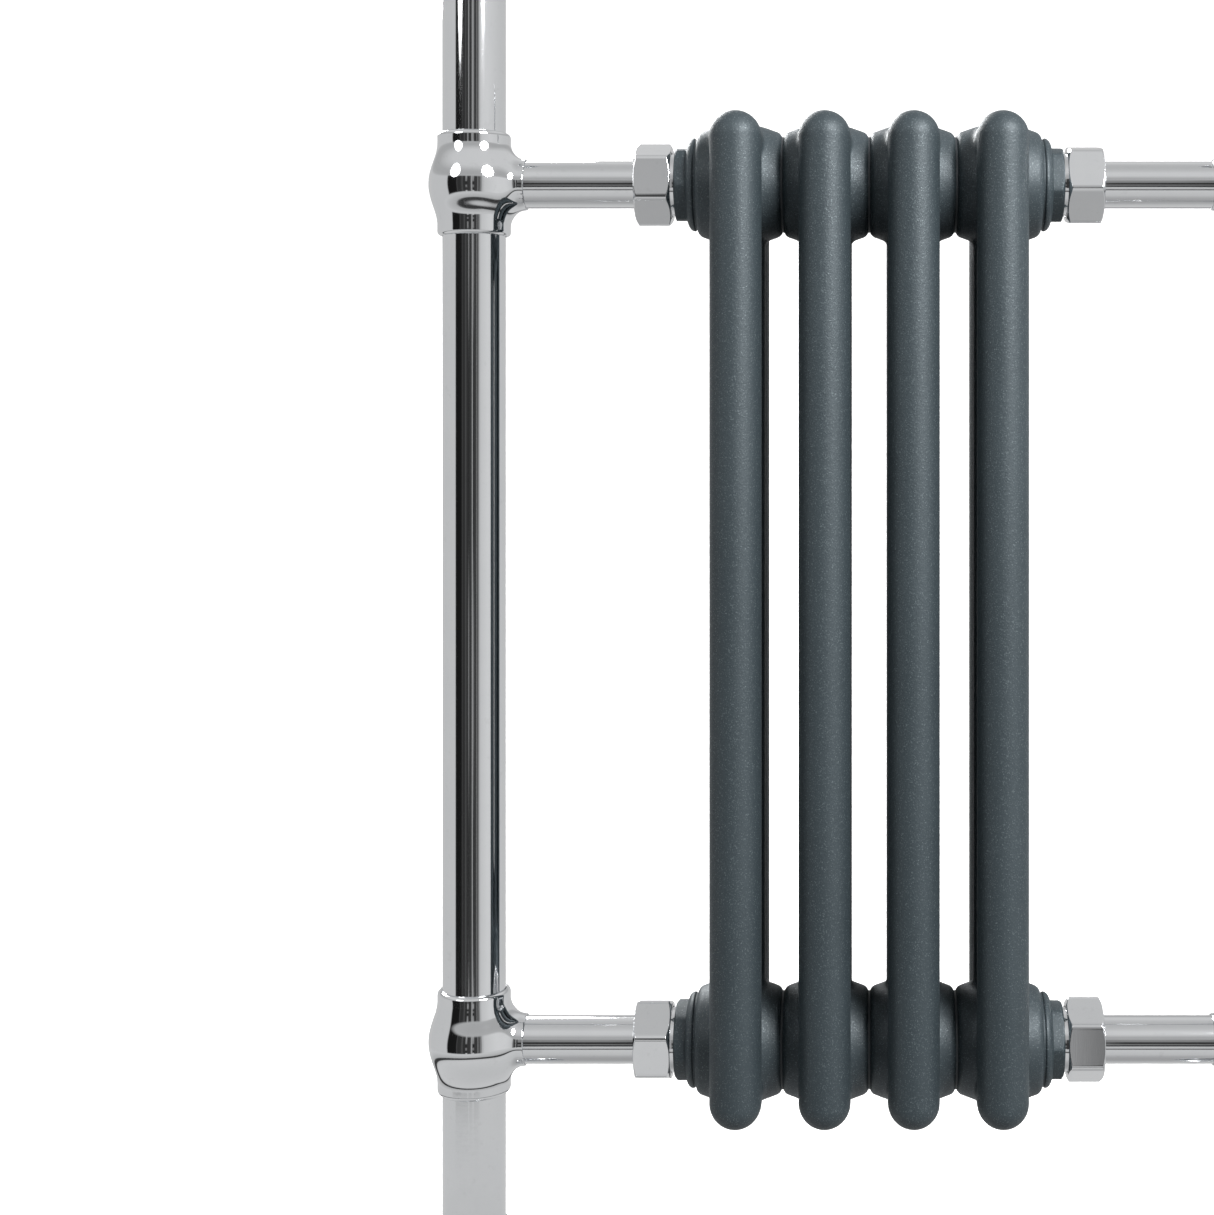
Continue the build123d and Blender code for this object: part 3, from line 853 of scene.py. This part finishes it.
# ---------------------------------------------------------------- rings seen between the barrels

JOINT_RING_RADIUS = 24.3
BUSH_RING_RADIUS = 23.1
RING_BORE = 15.95


def ring_set(name, node, centres, thickness, radius, finish):
    """Several equal flat rings, all on one barrel line, their rims rounded."""
    points, faces = [], []
    rim = [(0, radius, 0.3), (thickness, radius, 0.3)]
    outline = rounded([(0, RING_BORE, 0), *rim, (thickness, RING_BORE, 0)])
    for centre in centres:
        start = Vector((centre - thickness / 2 * MM, 0, middle(node).z))
        ring_points, ring_faces = spun(start, Vector((1, 0, 0)), outline[:, 0] * MM, outline[:, 1] * MM)
        faces.append(ring_faces + sum(len(earlier) for earlier in points))
        points.append(ring_points)
    piece(name, np.concatenate(points), np.concatenate(faces), [node], FRAME_SLOT[node], finish)


for level in LEVELS:
    section_middles = [middle(f"section_{number}_heads").x for number in section_numbers]
    joints = [(a + b) / 2 for a, b in zip(section_middles, section_middles[1:])]
    gap = (section_middles[1] - section_middles[0]) / MM - 2 * section_reach.x / MM
    ring_set(f"{level}_groove_rings", f"{level}_joint_rings", joints, gap, JOINT_RING_RADIUS, None)
    ends = [sign * (reach(f"{level}_bush_rings").x - gap / 2 * MM) for sign in SIDES.values()]
    painted = finishes["painted_bush_iron"]
    ring_set(f"{level}_painted_bush_rings", f"{level}_bush_rings", ends, gap, BUSH_RING_RADIUS, painted)


# ---------------------------------------------------------------- CAD nodes that stay as they are

for node, slot in FRAME_SLOT.items():
    shown = frame["nodes"][node].data
    shown.materials.clear()
    shown.materials.append(finishes[slot])


# ---------------------------------------------------------------- studio


def studio_floor():
    """A pale floor that curves up into a wall behind the object."""
    near, back, bend, tall = -6.0, 2.4, 1.2, 5.0
    profile = [(near, 0.0)]
    for step in range(13):
        angle = math.pi / 2 * step / 12
        profile.append((back - bend + bend * math.sin(angle), bend - bend * math.cos(angle)))
    profile.append((back, tall))
    points = [(x, y, z) for x in (-6.0, 6.0) for y, z in profile]
    count = len(profile)
    faces = [(i, i + count, i + count + 1, i + 1) for i in range(count - 1)]
    mesh = bpy.data.meshes.new("floor_sweep")
    mesh.from_pydata(points, [], faces)
    mesh.shade_smooth()
    paper = Finish("pale_paper", Roughness=0.9, Emission_Strength=0.85)
    tooth = paper.noise(900.0, 3.0, 0.6)
    paper.feed("Base Color", paper.blended(tooth, grey(0.90), grey(0.94)))
    paper.feed("Emission Color", grey(1.0))
    mesh.materials.append(paper.material)
    floor = bpy.data.objects.new("floor_sweep", mesh)
    bpy.context.scene.collection.objects.link(floor)
    floor.visible_glossy = False
    floor.visible_diffuse = False


def round_box(name, place, aim_height, width, power):
    """A round soft box, aimed at the object's axis at one height."""
    lamp = bpy.data.lights.new(name, "AREA")
    lamp.shape = "ELLIPSE"
    lamp.size, lamp.size_y = width, width
    lamp.energy = power
    holder = bpy.data.objects.new(name, lamp)
    holder.location = place
    holder.rotation_euler = (Vector((0, 0, aim_height)) - Vector(place)).to_track_quat("-Z", "Y").to_euler()
    bpy.context.scene.collection.objects.link(holder)


# What the chrome sees, as (degrees to the right of the front, brightness) round the room at its own level,
# then as (sine of the height, brightness): between the two tall slots, above and below the screens, and
# where the one gives way to the other.
SCREENS = [
    (-180, 0.60), (-61, 0.64), (-58, 0.010), (-34.5, 0.012), (-33, 0.09), (-31, 0.035), (-22, 0.04),
    (-19, 0.10), (-16, 0.035), (-4, 0.045), (2, 0.05), (4, 0.42), (6, 0.42), (6.6, 0.04), (14, 0.05),
    (18, 0.04), (19.5, 0.32), (21, 0.07), (24, 0.08), (25, 0.34), (26.5, 0.12), (29, 0.50), (35, 0.66),
    (60, 0.76), (110, 0.66), (180, 0.60),
]
SLOTS = [
    (-180, 0.0), (-10.8, 0.0), (-10.5, 1.0), (-7.0, 1.0), (-6.7, 0.0), (6.7, 0.0), (7.0, 1.0), (10.5, 1.0),
    (10.8, 0.0),
]
SHELF = [
    (-1.0, 0.62), (-0.29, 0.62), (-0.27, 0.04), (-0.20, 0.03), (-0.15, 0.20), (-0.10, 0.22), (-0.06, 0.03),
    (0.04, 0.03), (0.08, 0.24), (0.26, 0.34),
]
SKY = [
    (-1.0, 0.40), (-0.85, 0.62), (-0.58, 0.68), (-0.53, 0.62), (-0.515, 0.04), (-0.47, 0.05), (-0.46, 0.50),
    (-0.35, 0.66), (-0.28, 0.60), (0.28, 0.50), (0.36, 0.46), (0.45, 0.48), (0.62, 0.70), (0.80, 0.72),
    (1.0, 0.55),
]
AWAY = [(-1, 1.0), (-0.325, 1.0), (-0.30, 0.0), (0.25, 0.0), (0.29, 1.0), (1.0, 1.0)]
AMBIENT = 0.12


def studio_room():
    """Soft walls round the object: light ones, with dark screens between them that the chrome picks up."""
    world = bpy.data.worlds.new("studio_room")
    bpy.context.scene.world = world
    world.use_nodes = True
    tree = world.node_tree
    background = tree.nodes["Background"]
    direction = add_node(tree, "ShaderNodeTexCoord", output="Generated")
    split = add_node(tree, "ShaderNodeSeparateXYZ", None, {0: direction}).socket.node
    x, y, z = (Wire(split.outputs[axis]) for axis in range(3))
    bearing = x.math("ARCTAN2", x, y * -1.0) * (0.5 / math.pi) + 0.5
    tilt = z * 0.5 + 0.5
    walls = ramp(tree, bearing, SCREENS, -180, 360)
    shelf = ramp(tree, tilt, SHELF, -1, 2)
    slot = ramp(tree, bearing, SLOTS, -180, 360)
    sky = ramp(tree, tilt, SKY, -1, 2)
    away = ramp(tree, tilt, AWAY, -1, 2)
    level = mixed(tree, slot, walls, shelf)
    room = mixed(tree, away, level, sky)
    rays = add_node(tree, "ShaderNodeLightPath").socket.node.outputs
    mirrored, seen = Wire(rays["Is Glossy Ray"]), Wire(rays["Is Camera Ray"])
    lit = mixed(tree, mirrored, grey(AMBIENT), room)
    fill(tree, background.inputs["Color"], mixed(tree, seen, lit, grey(1.0)))


def ramp(tree, factor, stops, start, span):
    """Greys blended between stops of (place, level), over a span of places that the factor runs through."""
    elements = [((place - start) / span, grey(level)) for place, level in stops]
    return add_node(tree, "ShaderNodeValToRGB", {"stops": elements}, {0: factor})


def studio_camera():
    """Level with the upper half of the block, square on, a metre in front of it."""
    lens = bpy.data.cameras.new("camera")
    lens.lens = 57.06
    lens.sensor_width = 36.0
    lens.shift_x, lens.shift_y = -0.2158, -0.147
    lens.clip_start, lens.clip_end = 0.05, 60.0
    camera = bpy.data.objects.new("camera", lens)
    camera.location = (0.0, -0.9875, 0.425)
    camera.rotation_euler = (math.radians(90), 0, 0)
    bpy.context.scene.collection.objects.link(camera)
    bpy.context.scene.camera = camera


studio_floor()
studio_room()
round_box("round_box_right", (0.97, -1.24, 1.38), 0.40, 0.75, 52.0)
round_box("round_box_left", (-1.12, -1.09, 1.22), 0.45, 0.70, 4.0)
round_box("round_box_back", (-0.90, 1.70, 1.50), 0.35, 1.00, 40.0)
studio_camera()
bpy.context.scene.view_settings.view_transform = "Standard"
